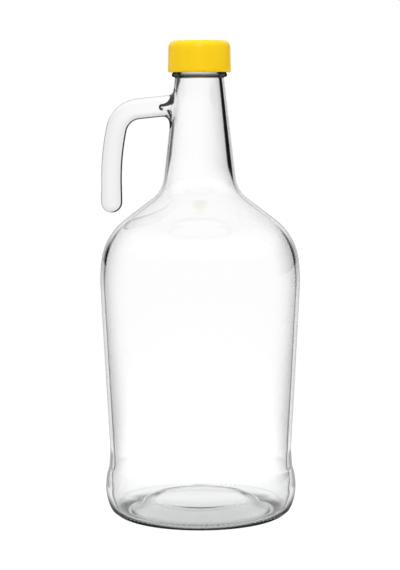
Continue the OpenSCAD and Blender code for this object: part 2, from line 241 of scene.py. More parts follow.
# The outside from the standing ring up to the bead, as [radius, height, slope]
OUTER = (
    bulge(corner_c, HEEL_CORNER_R, -90, corner_a)
    + divided(bulge(heel_c, HEEL_BULGE_R, corner_a, heel_top_a, 2)[1:], 2)
    + cove(land_round_c, LAND_ROUND, heel_top_a, LAND_SLOPE, 4)[1:]
)
for arc, step in (
    (cove(waist_c, WAIST_ROUND, LAND_SLOPE, barrel_a, 1.5), 3),
    (bulge(barrel_c, BARREL_ROUND, barrel_a, SHOULDER_START, 1.5), 5),
):
    OUTER += divided([OUTER[-1]] + arc, step)[1:]
OUTER += bulge(shoulder_c, SHOULDER_R, SHOULDER_START, SHOULDER_SLOPE, 2)[1:]
neck_root = cove(neck_root_c, NECK_ROOT_R, SHOULDER_SLOPE, NECK_TAPER)
OUTER += divided([OUTER[-1]] + neck_root, 2.5)[1:]
OUTER += [[neck_r(z), z, NECK_TAPER] for z in neck_rows()]

# How thick the wall is, by height
WALLS = np.array([
    [0, HEEL_WALL],
    [HEEL_Z, HEEL_WALL],
    [WAIST_Z, BARREL_WALL],
    [cone_foot[1], BARREL_WALL],
    [neck_foot_z, NECK_WALL],
    [neck_z, NECK_TOP_WALL * neck_out[0]],
])


def inside_of(r, z, slope):
    """The inside's point across the wall from a point of the outside."""
    return np.array([r, z]) - np.interp(z, *WALLS.T) * unit(slope)


INNER = np.array([inside_of(*row) for row in OUTER])


def inner_r(z):
    return np.interp(z, INNER[:, 1], INNER[:, 0])


def rounded(corners, step=0.35):
    """A polyline of [radius, height, rounding] with its corners rounded."""
    out = [np.array(corners[0][:2], float)]
    for before, here, after in zip(corners, corners[1:], corners[2:]):
        p, r = np.array(here[:2], float), here[2]
        a, b = np.array(before[:2], float) - p, np.array(after[:2], float) - p
        a_l, b_l = np.linalg.norm(a), np.linalg.norm(b)
        turn = math.acos(np.clip(a @ b / a_l / b_l, -1, 1))
        if r <= 0 or turn > math.radians(179):
            out.append(p)
            continue
        reach = min(r / math.tan(turn / 2), 0.49 * a_l, 0.49 * b_l)
        p0, p2 = p + a / a_l * reach, p + b / b_l * reach
        n = max(2, min(8, math.ceil(r * (math.pi - turn) / step)))
        w = math.sin(turn / 2)
        for t in np.linspace(0, 1, n + 1):
            k = np.array([(1 - t) ** 2, 2 * w * t * (1 - t), t * t])
            out.append((k[0] * p0 + k[1] * p + k[2] * p2) / k.sum())
    out.append(np.array(corners[-1][:2], float))
    return out


# ------------ mesh helpers


def smooth(t):
    return t * t * (3 - 2 * t)


def ramp(value, start, end):
    """Rises smoothly from 0 at start to 1 at end, which may be the lower of the two."""
    return smooth(np.clip((value - start) / (end - start), 0, 1))


def blend(a, b, t):
    return np.asarray(a) + (np.asarray(b) - a) * t


def bezier(p0, p1, p2, p3, t):
    return (1 - t) ** 3 * p0 + 3 * t * (1 - t) ** 2 * p1 + 3 * t * t * (1 - t) * p2 + t**3 * p3


def turned(r, z):
    """A ring round the Z axis. r may be one radius or one for each column."""
    a = np.arange(COLUMNS) * 2 * math.pi / COLUMNS
    r, z = np.broadcast_to(r, COLUMNS), np.broadcast_to(z, COLUMNS)
    return np.stack([r * np.cos(a), r * np.sin(a), z], 1)


def carry_edges(mesh, figures):
    """Puts each point's seven painted edge-shade figures on a mesh, where the glass reads them."""
    figures = np.array(figures, float)
    for name, part in (("edge_line", figures[:, :3]), ("edge_haze", figures[:, 3:6])):
        layer = mesh.attributes.new(name, "FLOAT_VECTOR", "POINT")
        layer.data.foreach_set("vector", part.ravel())
    layer = mesh.attributes.new("edge_mirror", "FLOAT", "POINT")
    layer.data.foreach_set("value", figures[:, 6])


def put(name, data):
    """An object in the scene, with its mesh or its lamp."""
    ob = bpy.data.objects.new(name, data)
    scene.collection.objects.link(ob)
    return ob


class Sheet:
    """Points and faces that are put together into one mesh, in mm.

    look is a function that gives the painted edge-shade figures of a point, for the points that come next.
    """

    def __init__(self, look=None):
        self.points, self.faces, self.figures, self.look = [], [], [], look

    def ring(self, points, figures=None):
        first = len(self.points)
        self.points += [tuple(map(float, p)) for p in points]
        if self.look:
            self.figures += figures or [self.look(p) for p in self.points[first:]]
        return list(range(first, len(self.points)))

    def bridge(self, a, b, flip=False):
        """Quads between two closed rings with the same count."""
        if flip:
            a, b = b, a
        for i in range(len(a)):
            j = (i + 1) % len(a)
            self.faces.append([a[i], a[j], b[j], b[i]])

    def skin(self, last, rings, flip=False, figures=None):
        """Carries on from the last ring over more of them. Returns the newest."""
        for points in rings:
            here = self.ring(points, figures)
            self.bridge(last, here, flip)
            last = here
        return last

    def close(self, ring, middle, flip=False, figures=None):
        """Triangles from a ring to a point in its middle."""
        pole = self.ring([middle], figures)[0]
        for i in range(len(ring)):
            corners = [ring[i], ring[(i + 1) % len(ring)], pole]
            self.faces.append(corners[::-1] if flip else corners)

    def object(self, name, finish):
        mesh = bpy.data.meshes.new(name)
        mesh.from_pydata([Vector(p) * MM for p in self.points], [], self.faces)
        mesh.materials.append(finish)
        mesh.shade_smooth()
        if self.figures:
            carry_edges(mesh, self.figures)
        return put(name, mesh)


# ------------ materials

GLASS_IOR = 1.52  # soda-lime flint glass
FACE_ON = ((GLASS_IOR - 1) / (GLASS_IOR + 1)) ** 2  # what it mirrors of light that meets it squarely
ALL_MIRRORED = {"From_Min": 0.955, "From_Max": 0.975}  # where a wall mirrors all light inside it
CAP_FLOW, CAP_SKIN = 11.11 * MM, 0.625 * MM  # the plastic's flow marks, and its skin's grain
FOAM_CELL = 0.3846 * MM
SOFT_STEP = {"interpolation_type": "SMOOTHSTEP"}


def linear(hex_colour):
    """An sRGB hex colour as linear RGBA."""
    c = [int(hex_colour[i : i + 2], 16) / 255 for i in (1, 3, 5)]
    return tuple(v / 12.92 if v <= 0.04045 else ((v + 0.055) / 1.055) ** 2.4 for v in c) + (1.0,)


def node(tree, kind, settings=None, **inputs):
    """Adds a node and returns its outputs. settings are its own properties. inputs are its
    sockets, by name or as i0, i1 and so on, and each is a value or another node's output."""
    added = tree.nodes.new(kind)
    for name, value in (settings or {}).items():
        setattr(added, name, value)
    for name, value in inputs.items():
        numbered = name[0] == "i" and name[1:].isdigit()
        socket = added.inputs[int(name[1:]) if numbered else name.replace("_", " ")]
        if isinstance(value, bpy.types.NodeSocket):
            tree.links.new(value, socket)
        else:
            socket.default_value = value
    return added.outputs


def material(name, slot_colour):
    """A material without nodes yet. The slot's colour is what a plain view shows."""
    finish = bpy.data.materials.new(name)
    finish.use_nodes = True
    finish.node_tree.nodes.clear()
    finish.diffuse_color = linear(slot_colour)
    return finish


def flint_glass():
    """Soda-lime flint glass, blown and fire-polished.

    It is clear and colourless, and a little grey through a long path. Each wall that is seen
    nearly edge-on gets a painted dark line: a dark diffuse mixed in, painted shade that stands for
    the dark of the room. edge_line holds where the line starts, where it is full and how dark it
    is. edge_haze holds the same of a paler painted shade inside it, and edge_mirror how dark the
    wall is painted where it mirrors the light inside the glass.
    """
    finish = material("flint_glass_fire_polished", "#EEF3F1")
    add = partial(node, finish.node_tree)
    fresnel = add("ShaderNodeFresnel", IOR=GLASS_IOR)[0]
    above = add("ShaderNodeMath", {"operation": "SUBTRACT"}, i0=fresnel, i1=FACE_ON)[0]
    edge = add("ShaderNodeMath", {"operation": "SQRT"}, i0=above)[0]
    darks = []
    for name in ("edge_line", "edge_haze"):
        figures = add("ShaderNodeAttribute", {"attribute_name": name})["Vector"]
        start, full, depth = add("ShaderNodeSeparateXYZ", Vector=figures)
        limits = {"From_Min": start, "From_Max": full, "To_Max": depth}
        darks.append(add("ShaderNodeMapRange", SOFT_STEP, Value=edge, **limits)[0])
    dark = add("ShaderNodeMath", {"operation": "MAXIMUM"}, i0=darks[0], i1=darks[1])[0]
    # Painted shade: how dark the wall is painted where it mirrors the light inside the glass
    mirror = add("ShaderNodeAttribute", {"attribute_name": "edge_mirror"})["Fac"]
    mirrors = add("ShaderNodeMapRange", Value=edge, **ALL_MIRRORED)[0]
    dark = add("ShaderNodeMix", {"data_type": "FLOAT"}, Factor=mirrors, i2=dark, i3=mirror)[0]
    clear = add(
        "ShaderNodeBsdfPrincipled",
        Base_Color=linear("#FFFFFF"),
        Roughness=0.0,
        IOR=GLASS_IOR,
        Transmission_Weight=1.0,
    )[0]
    # Painted shade: a near-black diffuse mixed in at the edges, standing for the dark of the room
    room = add("ShaderNodeBsdfDiffuse", Color=linear("#080808"))[0]
    lined = add("ShaderNodeMixShader", i0=dark, i1=clear, i2=room)[0]
    # Lamps and bounced light reach what is behind the glass, a little weakened
    path = add("ShaderNodeLightPath")
    unseen = add(
        "ShaderNodeMath",
        {"operation": "MAXIMUM"},
        i0=path["Is Shadow Ray"],
        i1=path["Is Diffuse Ray"],
    )[0]
    passing = add("ShaderNodeBsdfTransparent", Color=linear("#F4F6F5"))[0]
    both = add("ShaderNodeMixShader", i0=unseen, i1=lined, i2=passing)[0]
    grey = add("ShaderNodeVolumeAbsorption", Color=linear("#CACBCB"), Density=8.0)[0]
    add("ShaderNodeOutputMaterial", Surface=both, Volume=grey)
    return finish


def moulded_polypropylene():
    """Polypropylene, injection moulded: even yellow with a soft, broad shine, a trace of flow in
    its colour and a very fine grain."""
    finish = material("polypropylene_moulded_gloss", "#FFD21C")
    add = partial(node, finish.node_tree)
    place = add("ShaderNodeTexCoord")["Object"]
    flow = add("ShaderNodeTexNoise", Vector=place, Scale=1 / CAP_FLOW, Detail=2.0)["Fac"]
    yellow = add(
        "ShaderNodeMix",
        {"data_type": "RGBA"},
        Factor=flow,
        i6=linear("#FFCE10"),
        i7=linear("#FFD41A"),
    )[2]
    grain = add("ShaderNodeTexNoise", Vector=place, Scale=1 / CAP_SKIN, Detail=3.0)["Fac"]
    bump = add("ShaderNodeBump", Strength=0.05, Distance=0.0001, Height=grain)[0]
    plastic = add(
        "ShaderNodeBsdfPrincipled",
        Base_Color=yellow,
        Roughness=0.26,
        IOR=1.49,
        Specular_IOR_Level=0.12,
        Subsurface_Weight=0.12,
        Subsurface_Radius=(1.0, 0.6, 0.15),
        Subsurface_Scale=0.001,
        Normal=bump,
    )[0]
    add("ShaderNodeOutputMaterial", Surface=plastic)
    return finish


def skived_foam():
    """Expanded polyethylene foam, skived to a sheet: off-white and matt, with fine closed cells."""
    finish = material("polyethylene_foam_skived", "#ECEBE4")
    add = partial(node, finish.node_tree)
    place = add("ShaderNodeTexCoord")["Object"]
    cells = add("ShaderNodeTexVoronoi", Vector=place, Scale=1 / FOAM_CELL)["Distance"]
    bump = add("ShaderNodeBump", Strength=0.3, Distance=0.0001, Height=cells)[0]
    matt = add(
        "ShaderNodeBsdfPrincipled",
        Base_Color=linear("#ECEBE4"),
        Roughness=0.7,
        IOR=1.45,
        Normal=bump,
    )[0]
    add("ShaderNodeOutputMaterial", Surface=matt)
    return finish


glass = flint_glass()
cap_plastic = moulded_polypropylene()
foam = skived_foam()

# ------------ painted edge shade of the glass

# How the glass's edges are painted dark, against how nearly edge-on it is seen, from 0 to 1. The
# figures are where the painted dark line starts, where it is full and how dark it is, then the same
# three of the paler painted shade inside it, then how dark the wall is painted where it mirrors the
# light inside the glass.
# The first figure of a row is its height.
INSIDE_EDGES = np.array([
    [0, 0.50, 0.95, 0.50, -0.10, 0.60, 0.12, 0.20],
    [9, 0.38, 0.80, 0.75, -0.10, 0.60, 0.15, 0.25],
    [16, 0.36, 0.76, 0.82, -0.05, 0.60, 0.24, 0.30],
    [26, 0.50, 0.80, 0.90, 0.00, 0.60, 0.26, 0.25],
    [40, 0.48, 0.75, 0.95, 0.02, 0.60, 0.26, 0.22],
    [46, 0.46, 0.72, 0.96, 0.02, 0.60, 0.31, 0.30],
    [56, 0.44, 0.70, 0.97, 0.02, 0.60, 0.38, 0.40],
    [85, 0.48, 0.75, 0.96, 0.06, 0.62, 0.33, 0.28],
    [114, 0.50, 0.78, 0.95, 0.12, 0.65, 0.27, 0.22],
    [146, 0.50, 0.80, 0.95, 0.12, 0.65, 0.25, 0.26],
    [156, 0.46, 0.72, 0.96, 0.12, 0.60, 0.26, 0.42],
    [166, 0.45, 0.64, 0.99, 0.10, 0.55, 0.22, 0.65],
    [174, 0.45, 0.63, 0.99, 0.12, 0.50, 0.18, 0.75],
    [182, 0.46, 0.70, 0.93, 0.15, 0.50, 0.12, 0.35],
    [189, 0.60, 0.90, 0.45, 0.15, 0.50, 0.08, 0.12],
    [202, 0.45, 0.85, 0.45, 0.10, 0.40, 0.06, 0.20],
    [212, 0.40, 0.90, 0.45, 0.05, 0.30, 0.05, 0.25],
    [222, 0.32, 0.70, 0.75, 0.00, 0.25, 0.06, 0.35],
    [232, 0.22, 0.46, 0.95, 0.00, 0.22, 0.06, 0.45],
    [266, 0.22, 0.46, 0.95, 0.00, 0.22, 0.06, 0.45],
    [275, 0.14, 0.30, 0.98, -0.05, 0.20, 0.10, 0.70],
])
OUTSIDE_EDGES = np.array([
    [0, 0.12, 0.35, 0.98, 0.45, -0.10, 0.48, 0.97],
    [1.2, 0.12, 0.35, 0.97, 0.45, -0.10, 0.46, 0.95],
    [3, 0.16, 0.42, 0.95, 0.45, -0.10, 0.44, 0.90],
    [9, 0.25, 0.60, 0.80, 0.45, -0.10, 0.44, 0.75],
    [15, 0.35, 0.80, 0.55, 0.45, -0.10, 0.38, 0.50],
    [19, 0.40, 0.85, 0.50, 0.45, -0.10, 0.20, 0.45],
    [23, 0.50, 0.90, 0.40, 0.45, -0.10, 0.07, 0.35],
    [34, 0.55, 0.90, 0.40, 0.45, -0.10, 0.02, 0.30],
    [46, 0.55, 0.90, 0.40, 0.45, -0.10, 0.00, 0.30],
    [60, 0.55, 0.90, 0.40, 0.00, 0.40, 0.00, 0.30],
    [200, 0.55, 0.90, 0.40, 0.00, 0.40, 0.02, 0.30],
    [212, 0.60, 0.95, 0.40, 0.00, 0.50, 0.05, 0.40],
    [282, 0.60, 0.95, 0.40, 0.00, 0.50, 0.05, 0.40],
    [283.2, 0.15, 0.40, 0.96, -0.30, 0.12, 0.58, 0.96],
    [285.4, 0.15, 0.40, 0.96, -0.30, 0.12, 0.58, 0.96],
    [286, 0.15, 0.40, 0.96, -0.10, 0.20, 0.20, 0.96],
    [287, 0.15, 0.40, 0.96, 0.00, 0.20, 0.20, 0.96],
])

# The heel's painted shade: how high it reaches, how much of it the back loses, and from which Y to which
HEEL_SHADE_Z, HEEL_BACK_CLEAR, HEEL_BACK_Y = 60, 0.84, (-40, 40)
# Painted shade on the neck's +X side, which faces the darker side of the room
NECK_INSIDE_DARK = [0.18, 0.28, 0.98, -0.05, 0.20, 0.20, 0.22]
NECK_OUTSIDE_DARK = [0.55, 0.95, 0.50, 0.00, 0.30, 0.06, 0.40]
NECK_DARK_X, NECK_DARK_Z = (-10, 10), (209, 229)  # where it comes in
# Painted edge shade on the rod: above and below the arm, and on the leg's side away from the jug and
# towards it
ARM_TOP = [0.50, 0.95, 0.25, 0.00, 0.20, 0.02, 0.20]
ARM_UNDER = [0.17, 0.30, 0.85, -0.02, 0.12, 0.16, 0.60]
LEG_OUTER = [0.30, 0.70, 0.40, -0.10, 0.12, 0.08, 0.30]
LEG_INNER = [0.16, 0.25, 0.96, -0.10, 0.12, 0.08, 0.60]
# Painted edge shade on the handle's root: above, beside and below the arm
ROOT_TOP = [0.30, 0.60, 0.90, 0.00, 0.30, 0.06, 0.30]
ROOT_SIDE = [0.60, 0.95, 0.35, 0.00, 0.50, 0.08, 0.35]
ROOT_UNDER = [0.24, 0.42, 0.97, 0.00, 0.30, 0.04, 0.20]
ROOT_SIDE_END = (0.4, 0.9)  # cosines between which the side ends
# Painted edge shade on the push-up, from below and from inside, and on its flank between two radii
PUSHUP_CLEAR = [0.60, 1.20, 0.10, 0.20, 0.90, 0.05, 0.10]
FLOOR_FLANK = [0.60, 1.00, 0.25, 0.00, 0.60, 0.04, 0.12]
FLANK_INNER_R, FLANK_OUTER_R, FLANK_FADE = 26, 42, 4
# Painted edge shade in the root's hollow: its top and nose, its mouth, and its lower side
HOLLOW_DARK = [0.08, 0.20, 0.98, 0.00, 0.20, 0.12, 0.98]
HOLLOW_MOUTH = [0.25, 0.50, 0.96, -0.05, 0.25, 0.08, 0.25]
HOLLOW_PALE = [0.35, 0.70, 0.25, 0.00, 0.30, 0.08, 0.12]
HOLLOW_LOWER = (0.3125, -0.3125)  # cosines of the turn from the top where the lower side comes in
HOLLOW_PALE_END = (7.6, 6.6)  # mm into the root
HOLLOW_MOUTH_L, HOLLOW_LOWER_MOUTH_L = 1.2, 1.6  # mm, and how much longer it is below
# Painted edge shade on the stipple dots
STIPPLE_EDGES = [0.45, 0.90, 0.50, 0.45, -0.10, 0.00, 0.40]


def edges(p, table, neck_dark):
    """A point's painted edge-shade figures: by height, and on the neck by its side too."""
    x, z = p[0], p[2]
    here = np.array([np.interp(z, table[:, 0], column) for column in table.T[1:]])
    on_neck = ramp(z, *NECK_DARK_Z) * (z < neck_z)
    return blend(here, neck_dark, on_neck * ramp(x, *NECK_DARK_X))


def inside_edges(p):
    return edges(p, INSIDE_EDGES, NECK_INSIDE_DARK)


def outside_edges(p):
    """The heel's paler painted shade is deepest on the -Y side and fades towards +Y."""
    here = edges(p, OUTSIDE_EDGES, NECK_OUTSIDE_DARK)
    if p[2] < HEEL_SHADE_Z:
        here[5] *= 1 - HEEL_BACK_CLEAR * ramp(p[1], *HEEL_BACK_Y)
    return here


def underside_edges(p):
    """From the push-up's clear glass to the painted dark line of the standing ring."""
    return blend(PUSHUP_CLEAR, outside_edges(p), ramp(math.hypot(p[0], p[1]), ring_r - RING_W, ring_r))


def floor_edges(p):
    """From the clear crown over the painted dark flank of the push-up to the inside of the heel."""
    r = math.hypot(p[0], p[1])
    from_crown = ramp(r, FLANK_INNER_R, FLANK_INNER_R + FLANK_FADE)
    to_heel = ramp(r, FLANK_OUTER_R, FLANK_OUTER_R - FLANK_FADE)
    here = blend(PUSHUP_CLEAR, FLOOR_FLANK, from_crown * to_heel)
    return blend(here, inside_edges(p), ramp(r, FLANK_OUTER_R, FLANK_OUTER_R + FLANK_FADE))


def hollow_edges(a, d):
    """On the root's hollow: painted dark above and at its nose, a paler painted shade along its lower side.
    """
    lower = ramp(math.cos(a), *HOLLOW_LOWER) * ramp(d, *HOLLOW_PALE_END)
    far = blend(HOLLOW_DARK, HOLLOW_PALE, lower)
    return blend(HOLLOW_MOUTH, far, ramp(d, 0, HOLLOW_MOUTH_L + HOLLOW_LOWER_MOUTH_L * lower))


def rod_edges(a, way):
    """Painted edge shade on the rod: by the angle round it, and from the level arm to the leg."""
    down = np.clip((way - ARM_HEADING) / (LEG_HEADING - ARM_HEADING), 0, 1)
    outer, inner = blend(ARM_TOP, LEG_OUTER, down), blend(ARM_UNDER, LEG_INNER, down)
    return blend(outer, inner, ramp(math.cos(a), 1, -1))


def root_edges(a):
    """On the outside of the handle's root: painted dark only above and below the arm."""
    c = math.cos(a)
    return blend(ROOT_SIDE, ROOT_UNDER if c < 0 else ROOT_TOP, ramp(abs(c), *ROOT_SIDE_END))


# ------------ jug: body and finish


def thread_stand(z, foot_z):
    """How far a thread stands out at a height, for each column, as a share of its depth."""
    turn, end = np.arange(COLUMNS) * 360 / COLUMNS, 360 * THREAD_TURNS
    out = np.zeros(COLUMNS)
    for k in range(math.ceil(THREAD_TURNS) + 1):
        along = turn + 360 * k
        off = np.abs(z - foot_z - THREAD_PITCH * along / 360)
        flank = ramp(off, THREAD_FOOT / 2, THREAD_CREST / 2)
        fade = ramp(np.minimum(along, end - along), 0, THREAD_FADE)
        out = np.maximum(out, flank * fade)
    return out


def pushup(r):
    """How high the underside stands inside the standing ring."""
    if r < CROWN_R:
        return PUSHUP_H
    return PUSHUP_H * (1 + math.cos(math.pi * (r - CROWN_R) / (ring_r - RING_W - CROWN_R))) / 2


PUSHUP_FLANK = list(np.linspace(CROWN_R, ring_r - RING_W, PUSHUP_RINGS + 1))
# The columns of the handle's root, from the -Y side of -X to its +Y side
PATCH = [COLUMNS // 2 + k for k in range(-ROOT_HALF, ROOT_HALF + 1)]
# Which rows of the wall are in its patch
AT_ROOT = [abs(z - root_z) < ROOT_REACH + 1e-6 for _, z, _ in OUTER]


def course(sheet, rows, last):
    """Rings of a wall without the quads of the root's patch. rows are [radius, height, in the
    patch]. Returns the last ring and the patch's rings."""
    patch, before = [], False
    for r, z, in_patch in rows:
        here = sheet.ring(turned(r, z))
        for i in range(COLUMNS):
            j = (i + 1) % COLUMNS
            if not (in_patch and before and PATCH[0] <= i < PATCH[-1]):
                sheet.faces.append([last[i], last[j], here[j], here[i]])
        if in_patch:
            patch.append(here)
        last, before = here, in_patch
    return last, patch


def underside(sheet):
    """From the middle of the push-up to the standing ring. Returns its last ring."""
    sheet.look = underside_edges
    rings = [turned(r, pushup(r)) for r in CROWN_RINGS + PUSHUP_FLANK]
    rings.append(turned(ring_r - RING_W / 2, 0.0))
    first = sheet.ring(rings[0])
    sheet.close(first, (0, 0, PUSHUP_H), flip=True)
    return sheet.skin(first, rings[1:], flip=True)


def bead_rows():
    """The bead, with soft joins to the neck below it and the mouth above it."""
    r = BEAD_H / 2
    centre = (FINISH_R + BEAD_OUT - r, neck_z + r)
    join_z, mouth_z = neck_z - BEAD_JOIN_L, neck_z + BEAD_H
    below = [
        (neck_r(join_z), join_z, 0),
        (neck_top[0], neck_z + BEAD_FOOT, BEAD_JOIN_R),
        (*at(centre, r, BEAD_LOW), 0),
    ]
    above = [
        (*at(centre, r, BEAD_HIGH), 0),
        (FINISH_R, mouth_z + BEAD_TOP, BEAD_JOIN_R),
        (FINISH_R, mouth_z + MOUTH_START, 0),
    ]
    bead = [at(centre, r, a) for a in np.arange(BEAD_LOW, BEAD_HIGH, BEAD_STEP)[1:]]
    return rounded(below)[1:] + bead + rounded(above)[1:]


def threaded_finish(sheet, last):
    """Bead, threaded mouth and brim. Returns the last ring."""
    low, high = thread_z - THREAD_FOOT / 2 - THREAD_CLEAR, brim_z - BRIM_OUTER_R
    threaded = np.arange(low, high - THREAD_STEP / 4, THREAD_STEP)
    plain = np.linspace(neck_z + BEAD_H + MOUTH_START, threaded[0], 4)[1:-1]
    rings = [turned(r, z) for r, z in bead_rows()]
    rings += [turned(FINISH_R, z) for z in plain]
    rings += [turned(FINISH_R + THREAD_DEPTH * thread_stand(z, thread_z), z) for z in threaded]
    outer_c = (FINISH_R - BRIM_OUTER_R, brim_z - BRIM_OUTER_R)
    inner_c = (bore_r + BRIM_INNER_R, brim_z - BRIM_INNER_R)
    rings += [turned(*at(outer_c, BRIM_OUTER_R, a)) for a in np.linspace(0, 90, 9)]
    rings += [turned(*at(inner_c, BRIM_INNER_R, a)) for a in np.linspace(90, 180, 7)]
    return sheet.skin(last, rings)


def inside_floor(sheet, last):
    """From the inside of the heel to the middle of the floor, which follows the push-up."""
    sheet.look = floor_edges
    valley_r, valley_z = INNER[0]
    under = PUSHUP_FLANK[-1]
    rings = []
    for r in PUSHUP_FLANK[-2::-1] + CROWN_RINGS[::-1]:
        s = r / under
        rings.append(turned(s * valley_r, pushup(r) + blend(FLOOR_WALL, valley_z, s**4)))
    last = sheet.skin(last, rings)
    sheet.close(last, (0, 0, PUSHUP_H + FLOOR_WALL))


# ------------ jug: handle

# The rod's axis: the arm, the bend, the leg's long curve, its straight swell and its round tip
ARM_HEADING, LEG_HEADING = 180 + ARM_FALL, 270 - LEG_LEAN
leg_reach = LEG_GAP + TIP_R + SHOULDER_R  # from the shoulder's centre to the tip's
tip_z = shoulder_c[1] + math.sqrt(leg_reach**2 - (LEG_X - shoulder_c[0]) ** 2)
leg_curve_z = tip_z + SWELL_L
lean_x, lean_z = unit(LEG_LEAN)
upright_bend_z = arm_z - tan(ARM_FALL) * (LEG_X - BEND_R * (lean_x - fall_z)) - BEND_R * fall_x
leg_curve_r = (upright_bend_z + BEND_R * lean_z - leg_curve_z) / (
    lean_z - tan(ARM_FALL) * (1 - lean_x)
)
bend_x = -LEG_X + leg_curve_r * (1 - lean_x) + BEND_R * lean_x
bend_z = leg_curve_z + (leg_curve_r - BEND_R) * lean_z
arm_l = (-bend_x + BEND_R * fall_z) / fall_x
TURNS = np.arange(ROUND) * 2 * math.pi / ROUND  # round the rod, from its outer side over +Y


def arc_stations(centre, r, start, end, step):
    n = max(2, math.ceil((end - start) / step))
    return [[*at(centre, r, way - 90), way, ROD_R] for way in np.linspace(start, end, n + 1)]


def handle_stations(first):
    """Stations of [x, z, heading, radius], from a distance along the arm to the leg's tip."""
    arm = [
        [s * arm_way[0], arm_z + s * arm_way[2], ARM_HEADING, ROD_R]
        for s in np.linspace(first, arm_l, ARM_STATIONS)
    ]
    bend = arc_stations((bend_x, bend_z), BEND_R, ARM_HEADING, LEG_HEADING, BEND_STEP)
    leg_c = (leg_curve_r - LEG_X, leg_curve_z)
    leg = arc_stations(leg_c, leg_curve_r, LEG_HEADING, 270, LEG_STEP)
    swell = [
        [-LEG_X, leg_curve_z - SWELL_L * s, 270, blend(ROD_R, TIP_R, smooth(s))]
        for s in np.linspace(0, 1, SWELL_STATIONS)
    ]
    tip = [
        [-LEG_X, tip_z - TIP_R * math.sin(a), 270, TIP_R * math.cos(a)]
        for a in np.radians(np.arange(TIP_STEP, 90, TIP_STEP))
    ]
    return arm[:-1] + bend[:-1] + leg[:-1] + swell + tip


def rod_ring(x, z, way, r):
    """The rod's ring at a station."""
    out_x, out_z = unit(way - 90)
    rod = [(r * math.cos(a), r * math.sin(a)) for a in TURNS]
    return [(x + across * out_x, y, z + across * out_z) for across, y in rod]


def on_wall(side, z, radius):
    """The point of a wall of revolution at a distance round from -X and at a height."""
    r = radius(z)
    return np.array([-r * math.cos(side / r), r * math.sin(side / r), z])


def patch_loop(rows):
    """The root patch's edge, from the middle of its top round over +Y. rows are its rings, from
    the lowest."""
    columns = PATCH[::-1]
    top, bottom = rows[-1], rows[0]
    loop = [top[c] for c in columns[ROOT_HALF:]]
    loop += [row[columns[-1]] for row in rows[::-1][1:]]
    loop += [bottom[c] for c in columns[::-1][1:]]
    loop += [row[columns[0]] for row in rows[1:]]
    loop += [top[c] for c in columns[1:ROOT_HALF]]
    return loop


def fill_patch(sheet, rows, foot, radius, figures, rings, flip=False):
    """Quads from the patch's edge in to a foot curve on the same wall. foot is a list of (side,
    height) round the curve, and figures are its edge figures. Returns the foot's points."""
    last, edge = patch_loop(rows), []
    for i in last:
        x, y, z = sheet.points[i]
        edge.append((math.atan2(y, -x), z))
    for t in np.linspace(0, 1, rings + 1)[1:]:
        ring = []
        for (a, z), (side, foot_z) in zip(edge, foot):
            here_z = blend(z, foot_z, t)
            ring.append(on_wall(blend(a, side / radius(foot_z), t) * radius(here_z), here_z, radius))
        shades = [blend(sheet.look(p), f, t) for p, f in zip(ring, figures)]
        last = sheet.skin(last, [ring], flip, shades)
    return last


def fillet_foot():
    """The curve on the neck where the root's fillet starts."""
    out = []
    for a in TURNS:
        c, s = math.cos(a), math.sin(a)
        off = ROD_R + (FILLET_TOP if c > 0 else FILLET_UNDER) * c * c + FILLET_SIDE * s * s
        z = root_z + off * c
        out.append((math.asin(off * s / neck_r(z)) * neck_r(z), z))
    return out


def rod_line(a):
    """One line of the arm's rod: a point of it, and how far from there it meets the neck."""
    start = np.array([0, ROD_R * math.sin(a), arm_z])
    start += ROD_R * math.cos(a) * np.array([-fall_z, 0, fall_x])
    along = arm_start
    for _ in range(MEET_TRIES):
        x, y, z = start + along * arm_way
        along += neck_r(z) - math.hypot(x, y)
    return start, along


def handle(sheet, patch):
    """The root's fillet on the neck, then the rod to its tip."""
    sheet.look = outside_edges
    at_root, at_rod = [root_edges(a) for a in TURNS], [rod_edges(a, ARM_HEADING) for a in TURNS]
    last = fill_patch(sheet, patch, fillet_foot(), neck_r, at_root, rings=6)
    fillet, ends = [], []
    for a, i in zip(TURNS, last):
        start, along = rod_line(a)
        c = min(0, math.cos(a))
        foot, meet = np.array(sheet.points[i]), start + along * arm_way
        along += FILLET_L + FILLET_UNDER_L * c * c
        end = start + along * arm_way
        fillet.append((foot, blend(foot, meet, FILLET_PULL), blend(end, meet, FILLET_PULL), end))
        ends.append((end, along))
    for t in np.linspace(0, 1, FILLET_RINGS + 1)[1:]:
        shades = [blend(here, rod, t * t) for here, rod in zip(at_root, at_rod)]
        last = sheet.skin(last, [[bezier(*points, t) for points in fillet]], figures=shades)
    first = max(along for _, along in ends) + FILLET_PLAIN
    for t in (1 / 3, 2 / 3):
        ring = [end + (first - along) * t * arm_way for end, along in ends]
        last = sheet.skin(last, [ring], figures=at_rod)
    for station in handle_stations(first):
        shades = [rod_edges(a, station[2]) for a in TURNS]
        last = sheet.skin(last, [rod_ring(*station)], figures=shades)
    sheet.close(last, (-LEG_X, 0, tip_z - TIP_R), figures=[LEG_OUTER])


def hollow_section(d):
    """The hollow at a distance into the root: the middle's height, half its height and width."""
    top = root_z + HOLLOW_TOP + HOLLOW_TOP_FLARE * math.exp(-d / HOLLOW_TOP_FADE)
    bottom = root_z + HOLLOW_UNDER - HOLLOW_UNDER_FLARE * math.exp(-d / HOLLOW_UNDER_FADE)
    half_w = HOLLOW_HALF_W + HOLLOW_SIDE_FLARE * math.exp(-d / HOLLOW_SIDE_FADE)
    return (top + bottom) / 2, (top - bottom) / 2, half_w


def hollow_ring(d, nose=0.0):
    """The hollow's ring at a distance into the root. nose is the turn over its round nose."""
    middle, half_h, half_w = hollow_section(d)
    shrink, deep = math.cos(nose), d + HOLLOW_NOSE * math.sin(nose)
    ring = []
    for a in TURNS:
        y, z = half_w * shrink * math.sin(a), middle + half_h * shrink * math.cos(a)
        ring.append((-math.sqrt((inner_r(z) + deep) ** 2 - y * y), y, z))
    return ring


